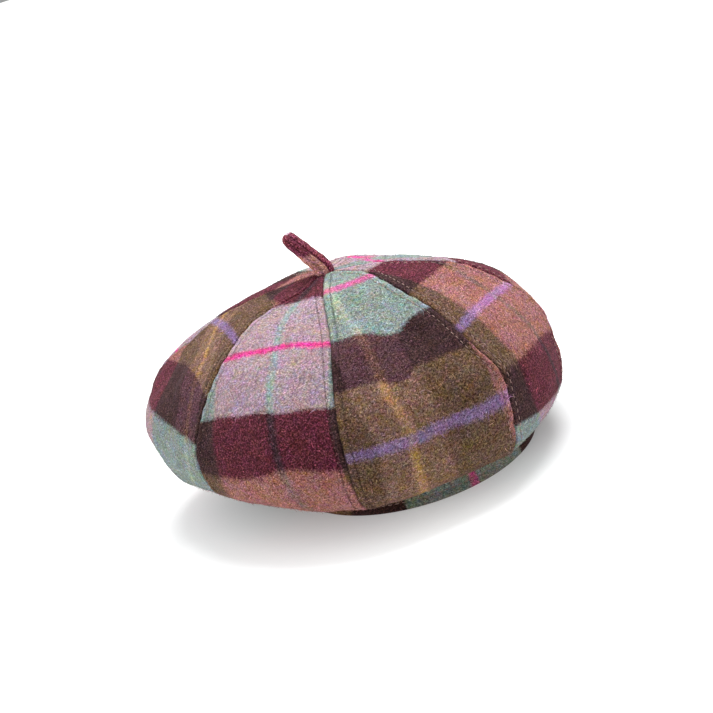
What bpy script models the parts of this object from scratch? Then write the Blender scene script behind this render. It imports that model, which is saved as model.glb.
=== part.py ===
"""Tam o shanter: a soft wool tweed beret of eight sewn gores on a headband, with a cloth
stalk at the crown. It sits flat on its headband, and the crown slouches to one side (-X)."""

import math

import bpy
import numpy as np

# Sizes in metres. +Z is up, -Y is the front, and the origin is the centre of the head opening.
HEADBAND_WIDTH = 0.170  # outside, from side to side (X)
HEADBAND_DEPTH = 0.201  # outside, from front to back (Y)
HEADBAND_HEIGHT = 0.033
HEADBAND_THICKNESS = 0.0026
HEADBAND_EDGE = 0.0007  # how far its turned edges are rounded off
CLOTH_THICKNESS = 0.002
SEAM_GAP = 0.0003  # between neighbouring pieces of cloth
CROWN_OVERHANG = 0.050  # how far the crown stands out past the headband
CROWN_RISE = 0.1065  # from the headband's top to the tip of the crown
RIM_RISE = 0.022  # from the headband's top to the crown's widest line
FOLD_DEPTH = 0.018  # how far the cloth turns in where it folds under
MOST_FOLD = 0.6  # the most of the overhang that the fold may take
TIP_SHIFT_X = -0.0215  # the crown's tip, away from the middle of the head opening
TIP_SHIFT_Y = 0.006
CORNER_RISE = 0.0022  # how far the rim stands out at each seam
DENT_DEPTH = 0.0035
STALK_RADIUS = 0.0066
STALK_LENGTH = 0.0375
STALK_LEAN = 33.0  # degrees from upright
STALK_LEAN_TO = 180.0  # degrees, the direction that it leans in
STALK_BEND = 0.007  # length over which it turns from upright to its lean
STALK_TIP_SHARE = 0.80  # radius below the rounded tip, as a share of the radius at the root
STALK_ROOT = 0.0035  # how far it reaches down through the crown

FIRST_SEAM = -106.0  # degrees
GORE_ANGLE = 45.0

# One row per seam, from the first one anticlockwise. Between seams the sizes change smoothly.
# overhang, rim and fold are shares of CROWN_OVERHANG, RIM_RISE and HEADBAND_HEIGHT, and
# fullness bends the dome from a cone, at 1, towards a drum.
SEAM_ROWS = (
    {"overhang": 1.09, "rim": 0.62, "fold": 0.69, "fullness": 1.78},
    {"overhang": 0.76, "rim": 0.70, "fold": 0.62, "fullness": 2.03},
    {"overhang": 0.57, "rim": 0.89, "fold": 0.56, "fullness": 2.27},
    {"overhang": 0.56, "rim": 0.54, "fold": 0.51, "fullness": 1.92},
    {"overhang": 0.85, "rim": 0.79, "fold": 0.52, "fullness": 1.85},
    {"overhang": 1.30, "rim": 1.31, "fold": 0.65, "fullness": 1.86},
    {"overhang": 1.75, "rim": 1.73, "fold": 0.80, "fullness": 1.85},
    {"overhang": 1.29, "rim": 1.25, "fold": 1.01, "fullness": 1.90},
)

# Hollows and swells of the soft cloth. angle and reach are degrees round the crown, down and
# spread are shares of the way from tip to rim, and depth is a share of DENT_DEPTH, inwards.
DENTS = (
    {"angle": -78.0, "reach": 10.0, "down": 0.52, "spread": 0.10, "depth": 1.0},
    {"angle": -70.0, "reach": 9.0, "down": 0.74, "spread": 0.12, "depth": -0.7},
    {"angle": -128.0, "reach": 14.0, "down": 0.60, "spread": 0.16, "depth": -0.6},
    {"angle": -172.0, "reach": 12.0, "down": 0.66, "spread": 0.14, "depth": 0.9},
    {"angle": -38.0, "reach": 11.0, "down": 0.45, "spread": 0.15, "depth": 0.7},
    {"angle": 12.0, "reach": 14.0, "down": 0.62, "spread": 0.15, "depth": -0.6},
    {"angle": 58.0, "reach": 13.0, "down": 0.55, "spread": 0.14, "depth": 0.9},
    {"angle": 100.0, "reach": 12.0, "down": 0.72, "spread": 0.14, "depth": -0.8},
    {"angle": 140.0, "reach": 13.0, "down": 0.50, "spread": 0.15, "depth": 1.0},
)

# The cloth is a check, so each gore's colour is the one that covers most of it.
GORE_COLOURS = (
    (0.150, 0.090, 0.055),
    (0.210, 0.090, 0.075),
    (0.120, 0.035, 0.045),
    (0.260, 0.215, 0.250),
    (0.150, 0.100, 0.060),
    (0.230, 0.110, 0.090),
    (0.110, 0.060, 0.050),
    (0.330, 0.230, 0.270),
)
HEADBAND_COLOUR = (0.110, 0.100, 0.085)
STALK_COLOUR = (0.170, 0.040, 0.055)
WOOL_ROUGHNESS = 0.92

DOME_ROWS = 15
FOLD_ROWS = 6
UNDER_ROWS = 5
GORE_COLUMNS = 8
HEADBAND_SIDES = 72
STALK_SIDES = 18
STALK_SHAFT_ROWS = 12
STALK_CAP_ROWS = 4


def clear_scene():
    for obj in list(bpy.data.objects):
        bpy.data.objects.remove(obj, do_unlink=True)


def seam_value(column, theta):
    """A column of SEAM_ROWS at any angle, in radians, by a smooth curve through its rows."""
    rows = np.array([row[column] for row in SEAM_ROWS])
    place = (np.degrees(theta) - FIRST_SEAM) / GORE_ANGLE
    first = np.floor(place).astype(int)
    part = place - first
    before, here, after, beyond = (rows[(first + step) % len(rows)] for step in (-1, 0, 1, 2))
    bend = 2 * before - 5 * here + 4 * after - beyond
    twist = 3 * here - before - 3 * after + beyond
    return 0.5 * (2 * here + (after - before) * part + bend * part**2 + twist * part**3)


def oval(theta, inset=0.0):
    """The headband's outline and its outward direction, inset metres inside the outer face."""
    half_x = HEADBAND_WIDTH / 2
    half_y = HEADBAND_DEPTH / 2
    out_x = np.cos(theta) / half_x
    out_y = np.sin(theta) / half_y
    size = np.hypot(out_x, out_y)
    out_x, out_y = out_x / size, out_y / size
    return half_x * np.cos(theta) - inset * out_x, half_y * np.sin(theta) - inset * out_y, out_x, out_y


def corner(theta):
    """1 on a seam, falling to 0 in the middle of a gore, as on a polygon's edge."""
    from_seam = np.abs((np.degrees(theta) - FIRST_SEAM + GORE_ANGLE / 2) % GORE_ANGLE - GORE_ANGLE / 2)
    return (1 - from_seam / (GORE_ANGLE / 2)) ** 2


def smooth_crown(stage, along, theta, corners=0.0):
    """A point of the crown's outer face. stage is dome, fold or under, and along runs 0 to 1."""
    base_x, base_y, out_x, out_y = oval(theta)
    overhang = CROWN_OVERHANG * seam_value("overhang", theta) + corners * corner(theta)
    rim_x = base_x + overhang * out_x
    rim_y = base_y + overhang * out_y
    rim_z = HEADBAND_HEIGHT + RIM_RISE * seam_value("rim", theta)
    fold_z = HEADBAND_HEIGHT * seam_value("fold", theta)
    turn = np.minimum(FOLD_DEPTH, MOST_FOLD * overhang)
    if stage == "dome":
        fullness = seam_value("fullness", theta)
        reach_x = rim_x - TIP_SHIFT_X
        reach_y = rim_y - TIP_SHIFT_Y
        hole = (STALK_RADIUS + SEAM_GAP) / np.hypot(reach_x, reach_y)
        start = np.arcsin(hole ** (fullness / 2))
        sweep = start + (math.pi / 2 - start) * along
        share = np.sin(sweep) ** (2 / fullness)
        rise = np.maximum(np.cos(sweep), 0.0) ** (2 / fullness)
        tip_z = HEADBAND_HEIGHT + CROWN_RISE
        return np.stack(
            [TIP_SHIFT_X + reach_x * share, TIP_SHIFT_Y + reach_y * share, rim_z + (tip_z - rim_z) * rise],
            axis=-1,
        )
    if stage == "fold":
        inward = turn * (1 - np.cos(along * math.pi / 2))
        drop = (rim_z - fold_z) * np.sin(along * math.pi / 2)
        return np.stack([rim_x - inward * out_x, rim_y - inward * out_y, rim_z - drop], axis=-1)
    start_out = overhang - turn
    span = start_out - SEAM_GAP
    end_z = HEADBAND_HEIGHT - CLOTH_THICKNESS
    outward = start_out - span * along
    climb = along * along * (3 - 2 * along)
    return np.stack(
        [base_x + outward * out_x, base_y + outward * out_y, fold_z + (end_z - fold_z) * climb], axis=-1
    )


def crown_rows():
    """Every row of a gore as (stage, along), from its tip to the headband."""
    rows = [("dome", i / (DOME_ROWS - 1)) for i in range(DOME_ROWS)]
    rows += [("fold", i / FOLD_ROWS) for i in range(1, FOLD_ROWS + 1)]
    rows += [("under", i / UNDER_ROWS) for i in range(1, UNDER_ROWS + 1)]
    return rows


def step_along(stage, along, step):
    """The place step further on, kept inside its stage."""
    return stage, min(max(along + step, 0.0), 1.0)


def crown_normal(stage, along, theta):
    """The outward direction of the smooth crown, upright where it meets the stalk."""
    step = 0.002
    ahead = smooth_crown(*step_along(stage, along, step), theta)
    behind = smooth_crown(*step_along(stage, along, -step), theta)
    left = smooth_crown(stage, along, theta - step)
    right = smooth_crown(stage, along, theta + step)
    normal = np.cross(ahead - behind, right - left)
    normal /= np.linalg.norm(normal, axis=-1, keepdims=True)
    if stage == "under" and along == 1.0:
        return np.broadcast_to([0.0, 0.0, -1.0], normal.shape)
    if stage != "dome":
        return normal
    weight = min(along / 0.12, 1.0)
    normal = normal * weight + np.array([0.0, 0.0, 1.0 - weight])
    return normal / np.linalg.norm(normal, axis=-1, keepdims=True)


def dent_depth(stage, along, theta):
    """How far the hollows push the cloth in at a point."""
    if stage != "dome":
        return np.zeros_like(theta)
    depth = np.zeros_like(theta)
    for dent in DENTS:
        away = (np.degrees(theta) - dent["angle"] + 180) % 360 - 180
        across = away / dent["reach"]
        down = (along - dent["down"]) / dent["spread"]
        depth = depth + DENT_DEPTH * dent["depth"] * np.exp(-(across**2) - down**2)
    return depth


def gore_row(stage, along, first_seam):
    """One row of a gore across its width: outer points and inner points."""
    width = math.radians(GORE_ANGLE)
    middle = np.array([math.radians(first_seam) + width / 2])
    step = 0.002
    apart = smooth_crown(stage, along, middle + step) - smooth_crown(stage, along, middle - step)
    per_radian = np.linalg.norm(apart) / (2 * step)
    margin = SEAM_GAP / 2 / per_radian
    theta = math.radians(first_seam) + np.linspace(margin, width - margin, GORE_COLUMNS + 1)
    normal = crown_normal(stage, along, theta)
    outer = smooth_crown(stage, along, theta, CORNER_RISE)
    outer = outer - normal * dent_depth(stage, along, theta)[:, None]
    return outer, outer - normal * CLOTH_THICKNESS


def make_object(name, points, faces, colour):
    mesh = bpy.data.meshes.new(name)
    mesh.from_pydata([tuple(float(value) for value in point) for point in points], [], faces)
    mesh.update()
    material = bpy.data.materials.new(name + "_cloth")
    material.use_nodes = True
    shader = material.node_tree.nodes["Principled BSDF"]
    shader.inputs["Base Color"].default_value = (*colour, 1.0)
    shader.inputs["Roughness"].default_value = WOOL_ROUGHNESS
    shader.inputs["Metallic"].default_value = 0.0
    mesh.materials.append(material)
    obj = bpy.data.objects.new(name, mesh)
    bpy.context.scene.collection.objects.link(obj)
    return obj


def make_gore(number):
    """One gore: its outer and inner faces, joined along both seams, at the tip and at the headband."""
    first_seam = FIRST_SEAM + GORE_ANGLE * number
    rows = [gore_row(stage, along, first_seam) for stage, along in crown_rows()]
    across = GORE_COLUMNS + 1
    count = len(rows)
    points = [point for outer, _ in rows for point in outer] + [point for _, inner in rows for point in inner]
    inside = count * across

    def at(row, column, side=0):
        return side * inside + row * across + column

    faces = []
    for row in range(count - 1):
        for column in range(across - 1):
            outer = (at(row, column), at(row + 1, column), at(row + 1, column + 1), at(row, column + 1))
            faces.append(outer)
            faces.append(tuple(index + inside for index in reversed(outer)))
        last = across - 1
        faces.append((at(row, 0), at(row, 0, 1), at(row + 1, 0, 1), at(row + 1, 0)))
        faces.append((at(row, last), at(row + 1, last), at(row + 1, last, 1), at(row, last, 1)))
    for column in range(across - 1):
        end = count - 1
        faces.append((at(0, column), at(0, column + 1), at(0, column + 1, 1), at(0, column, 1)))
        faces.append((at(end, column), at(end, column, 1), at(end, column + 1, 1), at(end, column + 1)))
    return make_object(f"crown_panel_{number + 1}", points, faces, GORE_COLOURS[number])


def make_headband():
    """A closed ring of folded cloth, flat below, with rounded edges."""
    edge = HEADBAND_EDGE
    profile = (
        (edge, 0.0),
        (0.0, edge),
        (0.0, HEADBAND_HEIGHT - edge),
        (edge, HEADBAND_HEIGHT),
        (HEADBAND_THICKNESS - edge, HEADBAND_HEIGHT),
        (HEADBAND_THICKNESS, HEADBAND_HEIGHT - edge),
        (HEADBAND_THICKNESS, edge),
        (HEADBAND_THICKNESS - edge, 0.0),
    )
    points = []
    for side in range(HEADBAND_SIDES):
        theta = 2 * math.pi * side / HEADBAND_SIDES
        for inset, height in profile:
            x, y, _, _ = oval(theta, inset)
            points.append((x, y, height))
    around = len(profile)
    faces = []
    for side in range(HEADBAND_SIDES):
        here = side * around
        there = (side + 1) % HEADBAND_SIDES * around
        for index in range(around):
            after = (index + 1) % around
            faces.append((here + index, there + index, there + after, here + after))
    return make_object("headband", points, faces, HEADBAND_COLOUR)


def stalk_sections():
    """The stalk's sections from root to tip, as (centre, lean in radians, radius)."""
    lean = math.radians(STALK_LEAN)
    toward = np.array([math.cos(math.radians(STALK_LEAN_TO)), math.sin(math.radians(STALK_LEAN_TO)), 0.0])
    centre = np.array([TIP_SHIFT_X, TIP_SHIFT_Y, HEADBAND_HEIGHT + CROWN_RISE - STALK_ROOT])
    tip_radius = STALK_RADIUS * STALK_TIP_SHARE
    shaft = STALK_LENGTH - tip_radius
    sections = [(centre, 0.0, STALK_RADIUS)]
    step = shaft / STALK_SHAFT_ROWS
    centre = centre + np.array([0.0, 0.0, STALK_ROOT])
    sections.append((centre, 0.0, STALK_RADIUS))
    for row in range(1, STALK_SHAFT_ROWS + 1):
        part = min(row * step / STALK_BEND, 1.0)
        angle = lean * part * part * (3 - 2 * part)
        centre = centre + step * (math.sin(angle) * toward + np.array([0.0, 0.0, math.cos(angle)]))
        radius = STALK_RADIUS + (tip_radius - STALK_RADIUS) * row / STALK_SHAFT_ROWS
        sections.append((centre, angle, radius))
    axis = math.sin(lean) * toward + np.array([0.0, 0.0, math.cos(lean)])
    for row in range(1, STALK_CAP_ROWS):
        turn = row / STALK_CAP_ROWS * math.pi / 2
        sections.append((centre + axis * tip_radius * math.sin(turn), lean, tip_radius * math.cos(turn)))
    return sections, centre + axis * tip_radius, toward


def make_stalk():
    """A leaning stem with a rounded tip, whose root fills the hole between the gores' tips."""
    sections, tip, toward = stalk_sections()
    sideways = np.array([-toward[1], toward[0], 0.0])
    points = []
    for centre, angle, radius in sections:
        across = math.cos(angle) * toward - np.array([0.0, 0.0, math.sin(angle)])
        for side in range(STALK_SIDES):
            turn = 2 * math.pi * side / STALK_SIDES
            points.append(centre + radius * (math.cos(turn) * across + math.sin(turn) * sideways))
    faces = [tuple(reversed(range(STALK_SIDES)))]
    for row in range(len(sections) - 1):
        for side in range(STALK_SIDES):
            here = row * STALK_SIDES + side
            there = row * STALK_SIDES + (side + 1) % STALK_SIDES
            faces.append((here, there, there + STALK_SIDES, here + STALK_SIDES))
    last = (len(sections) - 1) * STALK_SIDES
    points.append(tip)
    for side in range(STALK_SIDES):
        faces.append((last + side, last + (side + 1) % STALK_SIDES, len(points) - 1))
    return make_object("stalk", points, faces, STALK_COLOUR)


clear_scene()
for gore_number in range(len(SEAM_ROWS)):
    make_gore(gore_number)
make_headband()
make_stalk()
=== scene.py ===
"""The tam o shanter dressed as in the photograph: gores of check tweed, topstitched seams,
a slouched crown, the headband and the stalk, on a plain pale floor."""
import math

import bmesh
import bpy
import numpy as np
from mathutils import Matrix, Vector


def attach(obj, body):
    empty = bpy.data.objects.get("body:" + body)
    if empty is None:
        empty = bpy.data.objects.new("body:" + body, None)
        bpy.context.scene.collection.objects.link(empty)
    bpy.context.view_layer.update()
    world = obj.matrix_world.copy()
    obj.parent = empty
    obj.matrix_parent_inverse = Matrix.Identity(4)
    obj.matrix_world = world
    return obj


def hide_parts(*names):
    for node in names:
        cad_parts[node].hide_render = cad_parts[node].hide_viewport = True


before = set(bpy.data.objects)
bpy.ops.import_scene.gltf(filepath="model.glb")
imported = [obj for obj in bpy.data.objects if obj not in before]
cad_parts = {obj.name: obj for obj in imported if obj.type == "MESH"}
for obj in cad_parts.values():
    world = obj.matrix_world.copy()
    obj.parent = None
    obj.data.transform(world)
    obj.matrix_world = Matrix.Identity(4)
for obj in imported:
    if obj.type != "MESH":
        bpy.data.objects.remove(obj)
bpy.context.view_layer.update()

# Sizes in metres, as in part.py
HEADBAND_WIDTH = 0.170
HEADBAND_DEPTH = 0.201
HEADBAND_HEIGHT = 0.033
HEADBAND_THICKNESS = 0.0026
CLOTH_THICKNESS = 0.002
CROWN_OVERHANG = 0.050
CROWN_RISE = 0.1065
RIM_RISE = 0.022
FOLD_DEPTH = 0.018
MOST_FOLD = 0.6
TIP_X = -0.0215
TIP_Y = 0.006
TIP_Z = HEADBAND_HEIGHT + CROWN_RISE
CORNER_RISE = 0.0022
DENT_DEPTH = 0.0035
STALK_RADIUS = 0.0066
STALK_LENGTH = 0.0375
STALK_LEAN = math.radians(33.0)
STALK_BEND = 0.007
STALK_TIP_SHARE = 0.80
STALK_ROOT = 0.0035
FIRST_SEAM = -106.0
GORE_ANGLE = 45.0
GORES = 8

# The crown at each seam, as in part.py: shares of CROWN_OVERHANG, RIM_RISE and HEADBAND_HEIGHT, and how
# full the dome is
SEAM_COLUMNS = ("overhang", "rim", "fold", "fullness")
SEAM_ROWS = (
    (1.09, 0.62, 0.69, 1.78),
    (0.76, 0.70, 0.62, 2.03),
    (0.57, 0.89, 0.56, 2.27),
    (0.56, 0.54, 0.51, 1.92),
    (0.85, 0.79, 0.52, 1.85),
    (1.30, 1.31, 0.65, 1.86),
    (1.75, 1.73, 0.80, 1.85),
    (1.29, 1.25, 1.01, 1.90),
)
# Broad dents: middle and reach in degrees round, middle and spread in parts of the way down, and how deep,
# as a share of DENT_DEPTH
DENTS = (
    (-78.0, 10.0, 0.52, 0.10, 1.0),
    (-70.0, 9.0, 0.74, 0.12, -0.7),
    (-128.0, 14.0, 0.60, 0.16, -0.6),
    (-172.0, 12.0, 0.66, 0.14, 0.9),
    (-38.0, 11.0, 0.45, 0.15, 0.7),
    (12.0, 14.0, 0.62, 0.15, -0.6),
    (58.0, 13.0, 0.55, 0.14, 0.9),
    (100.0, 12.0, 0.72, 0.14, -0.8),
    (140.0, 13.0, 0.50, 0.15, 1.0),
)

# Small folds: middle and reach in degrees round, middle and spread in parts of the way down, degrees of
# slant over the whole way down, and how far it stands out, in metres
TUCKS = (
    (-74.0, 3.6, 0.515, 0.055, 14.0, -0.0034),
    (-81.0, 3.0, 0.500, 0.080, 20.0, 0.0018),
    (-68.5, 8.5, 0.835, 0.028, 30.0, -0.0034),
    (-69.0, 7.5, 0.775, 0.025, 30.0, 0.0012),
    (-168.0, 4.0, 0.62, 0.10, 0.0, 0.0016),
    (176.0, 3.0, 0.66, 0.12, 0.0, -0.0016),
    (30.0, 5.0, 0.60, 0.05, 12.0, -0.0014),
    (112.0, 5.5, 0.66, 0.05, -14.0, -0.0016),
)
# The rolled edge beside the front gore's right seam: parts of the way down where it starts and ends and
# over which it does so, and its rise, distance from the seam and half width in metres
ROLLED_GORE = 0
ROLLED_START = 0.60
ROLLED_START_FADE = 0.05
ROLLED_END = 1.10
ROLLED_END_FADE = 0.08
ROLLED_RISE = 0.0013
ROLLED_INSET = 0.0024
ROLLED_WIDTH = 0.0020

# Seams that swing sideways off their straight way down: which, by how many degrees, and the middle and
# spread in parts of the way from the tip to the rim
SWINGS = (
    (0, 2.1, 0.37, 0.17),
    (1, 20.0, 0.0, 0.17),
    (1, 1.7, 0.45, 0.14),
    (1, 2.8, 0.83, 0.10),
    (6, 6.3, 0.25, 0.25),
    (6, 4.9, 0.50, 0.10),
    (7, 17.8, 0.08, 0.09),
    (7, -3.6, 0.30, 0.10),
)

# How each gore was cut from the cloth: its reach in metres, below which the cloth runs straight on, and
# where a point u across and v down it, in units of CUT_UNIT, lies across and down the check. The numbers
# weight 1, u, v, uu, uv, vv, uuu, uuv, uvv and vvv.
CUT_UNIT = 0.1
CUTS = (
    (
        0.40, (1.071, 0.98, 0.035, -0.027, -0.058, 0.008, -0.019, -0.03, -0.007, -0.008),
        (-0.23, -0.008, 0.309, 0.772, -0.211, 0.548, 0.049, -0.441, 0.094, -0.148),
    ),
    (
        0.24, (-0.173, 0.966, -0.562, 0.212, 0.569, 0.757, -0.623, 0.038, -0.295, -0.245),
        (0.103, -0.025, 0.939, 0.052, -0.055, 0.005),
    ),
    (0.40, (0.50, 1.0, 0.04), (-0.31, 0.05, 1.0)),
    (0.40, (0.24, 1.0, -0.06), (-0.35, -0.06, 1.0)),
    (0.40, (0.26, 1.0, 0.05), (-0.12, 0.04, 1.0)),
    (0.40, (-0.35, 1.0, 0.0), (-1.18, 0.0, 1.0)),
    (
        0.205, (1.601, 0.896, 0.451, -1.563, 0.776, -1.884, 0.554, 1.097, -0.518, 0.722),
        (0.409, -0.086, 1.025, 0.06, -0.021, 0.19, -0.016, 0.015, 0.039, -0.103),
    ),
    (
        0.40, (0.019, 1.038, 0.139, 0.022, 0.047, -0.223, -0.014, 0.145, -0.102, 0.054),
        (-0.743, 0.071, 0.463, -0.036, 0.156, 0.52, -0.082, 0.024, -0.067, -0.156),
    ),
)
# Where the cloth was eased in as it was sewn, so that the check wanders: the gore, 0 for across or 1 for
# down, the middle and the spread across and down it, and how far the check wanders, in metres
EASED = (
    (0, 1, 0.0030, 0.1060, 0.014, 0.022, -0.0042),
    (0, 1, 0.0015, 0.1265, 0.012, 0.028, -0.0085),
    (0, 1, -0.0100, 0.1450, 0.010, 0.016, -0.0035),
    (0, 1, 0.0070, 0.1430, 0.006, 0.012, 0.0075),
    (0, 1, 0.0060, 0.1820, 0.016, 0.016, 0.0022),
    (0, 0, 0.0520, 0.1650, 0.012, 0.070, 0.0030),
    (7, 1, 0.0120, 0.0870, 0.012, 0.012, 0.0026),
    (7, 1, -0.0160, 0.1390, 0.012, 0.012, -0.0024),
    (7, 1, 0.0140, 0.1360, 0.018, 0.016, -0.0036),
    (7, 1, 0.0200, 0.1760, 0.020, 0.014, 0.0036),
    (6, 0, 0.0140, 0.0560, 0.014, 0.016, -0.0190),
)

# The check in metres: its repeats, half the width of each band and line, and how soft their edges are
WARP_REPEAT = 0.192
WEFT_REPEAT = 0.254
ROSE_HALF = 0.041
HEATHER_HALF = 0.019
LIGHT_HALF = 0.047
BROWN_HALF = 0.040
LINE_HALF = 0.0026
BAND_EDGE = 0.0013
TWILL_PITCH = 0.0019
HEATHER_SPECK = 4.1
HEATHER_TINT = 1.75

# Sewing
STITCH_INSET = 0.005
STITCH_STEP = 0.0047
STITCH_LENGTH = 0.0030
STITCH_RADIUS = 0.00027
STITCH_BURIED = 0.45  # share of its radius
STITCH_SIDES = 6
# Along a stitch: part of its length, share of its radius, and how high its middle lies
STITCH_RINGS = ((0.0, 0.35, -0.9), (0.16, 0.9, -0.1), (0.5, 1.0, 0.35), (0.84, 0.9, -0.1), (1.0, 0.35, -0.9))
STITCH_START = 0.0012
STITCH_STAGGER = 0.0009
STITCH_ROOM = 0.016  # the narrowest part of a gore that is topstitched
# Seams whose stitches have pulled down into the wool, and how far
DEEP_STITCHES = (0, 6, 7)
STITCH_SINK = 0.00042
SEAM_GAP = 0.00008
SEAM_DIP = 0.0009
STITCH_DIP = 0.0004
STITCH_DIP_ROOM = 0.014
DIP_WIDTH = 0.0008
# The seam allowance under the cloth
ALLOWANCE_RISE = 0.00045
ALLOWANCE_THICKNESS = 0.0008
ALLOWANCE_WIDTH = 0.0078
ALLOWANCE_EDGE = 0.0007

# The lie of the cloth, in metres: it is smooth near the tip and the headband
TIP_SMOOTH = 0.012
TIP_FADE = 0.03
BAND_FADE = 0.012
DENTS_END = 1.4  # parts of the way down
# Wrinkles: how far they rise, how many waves, the shortest and the longest, and the seed
WRINKLES = ((0.0011, 9, 0.045, 0.11, 5), (0.0004, 12, 0.014, 0.03, 9))
PUCKER_RISE = 0.00028
PUCKER_LENGTH = 0.0125
PUCKER_REACH = 0.009
PUCKER_SHIFT = 1.7
PUCKER_WANDER = 2.2
PUCKER_DRIFT = 37
ROUGHNESS_RISE = 0.00005
ROUGHNESS_SEED = 40
DEEPEST_INSIDE = -0.002
UPRIGHT_TIP = 0.12  # parts of the way down
WEAVE_SHIFT_X = 0.31
WEAVE_SHIFT_Y = 0.17

# Loose fibres on the cloth: how many per square metre, how far down they go, and how far from a seam
FIBRES_EACH = 210000
FIBRES_END = 2.2
FIBRES_CLEAR = 0.0025
FIBRES_SEED = 71
FIBRE_SHORTEST = 0.0025
FIBRE_LONGEST = 0.0060
FIBRE_WIDTH = 0.00026
FIBRE_ROOT = 0.00005
FIBRE_CURL = 0.8
FIBRE_LEAST_RISE = 0.05
FIBRE_MOST_RISE = 0.30
FIBRE_DROOP = 0.5
# Each fibre's three lengths, as shares, with how many times its curl each has turned, and its widths
FIBRE_STEPS = ((0.35, 0.0), (0.35, 1.0), (0.30, 2.0))
FIBRE_WIDTHS = (1.0, 1.0, 0.7)
FIBRE_POINTS = 7
FAR_FROM_SEAM = 1.0

# How finely the gores are divided
DOME_ROWS = 116
FOLD_ROWS = 30
UNDER_ROWS = 24
GORE_COLUMNS = 68
CROWDING = 1.55  # how much closer together columns lie near the seams

# The headband
BAND_SIDES = 420
BAND_ROWS = 34
BAND_CLOTH_X = -0.076
BAND_PINK_AT = 0.4695
BAND_SEAM_AT = math.radians(95)
BAND_SEAM_DIP = 0.0009
BAND_SEAM_WIDTH = 0.0009
BAND_EDGE_ROW = 0.0055  # the height of the topstitched row
BAND_PUFF = 0.00045
BAND_GROOVE = 0.0005
BAND_GROOVE_WIDTH = 0.0006
BAND_STITCH_DEPTH = 0.0004
BAND_MARGIN = 0.0006
BAND_CORNER = 0.0007
BAND_CLEAR = 0.001
BAND_WAVES = ((0.00025, 0.052), (0.00015, 0.021))  # how far they rise, and their lengths

# The stalk
STALK_SIDES = 64
STALK_ROWS = 90
STALK_TIP_ROWS = 14
STALK_CLOTH_X = -0.0230
STALK_CLOTH_Y = 0.106
STALK_SEAM_TURN = math.radians(118)
STALK_SEAM_DIP = 0.09  # share of the radius
STALK_SEAM_WIDTH = 0.0007
STALK_FLAP_DROP = 0.028
STALK_FLAP_TURN = math.radians(95)
STALK_SLANT = 0.0042
STALK_SLANT_LEAST = -0.3
STALK_SLANT_MIDDLE = 1.15
STALK_LUMP = 0.00015
STALK_LUMP_LENGTH = 0.013
STALK_RIPPLE = 0.0001
STALK_RIPPLE_TURNS = 900
STALK_EVEN_ROOT = 0.006
STALK_TIP_CLOTH = 0.018
STALK_TIP_FROM_SEAM = 0.01
WELD = 1e-6


def linear(red, green, blue, strength=1.0):
    """A colour given as on a screen, from 0 to 255, as Blender's linear values."""
    def one(value):
        value /= 255
        return value / 12.92 if value <= 0.04045 else ((value + 0.055) / 1.055) ** 2.4
    return one(red) * strength, one(green) * strength, one(blue) * strength, 1.0


def unit(vectors):
    return vectors / np.linalg.norm(vectors, axis=-1, keepdims=True)


def run(points):
    """How far along a line of points each of them lies."""
    return np.concatenate([[0.0], np.cumsum(np.linalg.norm(np.diff(points, axis=0), axis=-1))])


def add_object(name, data):
    made = bpy.data.objects.new(name, data)
    bpy.context.scene.collection.objects.link(made)
    return made


# Crown surface

def seam_value(column, theta):
    """A column of SEAM_ROWS at an angle, on a smooth curve through the seams' values."""
    rows = np.array(SEAM_ROWS)[:, SEAM_COLUMNS.index(column)]
    place = (np.degrees(theta) - FIRST_SEAM) / GORE_ANGLE
    first = np.floor(place).astype(int)
    part = place - first
    before, here, after, beyond = (rows[(first + step) % GORES] for step in (-1, 0, 1, 2))
    bend = 2 * before - 5 * here + 4 * after - beyond
    twist = 3 * here - before - 3 * after + beyond
    return 0.5 * (2 * here + (after - before) * part + bend * part**2 + twist * part**3)


def oval(theta, inset=0.0):
    """A point inside the headband's outline, and the way out from it."""
    half_x = HEADBAND_WIDTH / 2
    half_y = HEADBAND_DEPTH / 2
    out_x = np.cos(theta) / half_x
    out_y = np.sin(theta) / half_y
    size = np.hypot(out_x, out_y)
    out_x, out_y = out_x / size, out_y / size
    return half_x * np.cos(theta) - inset * out_x, half_y * np.sin(theta) - inset * out_y, out_x, out_y


def corner(theta):
    """1 at a seam, falling to 0 halfway to the next."""
    half = GORE_ANGLE / 2
    from_seam = np.abs((np.degrees(theta) - FIRST_SEAM + half) % GORE_ANGLE - half)
    return (1 - from_seam / half) ** 2


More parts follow.
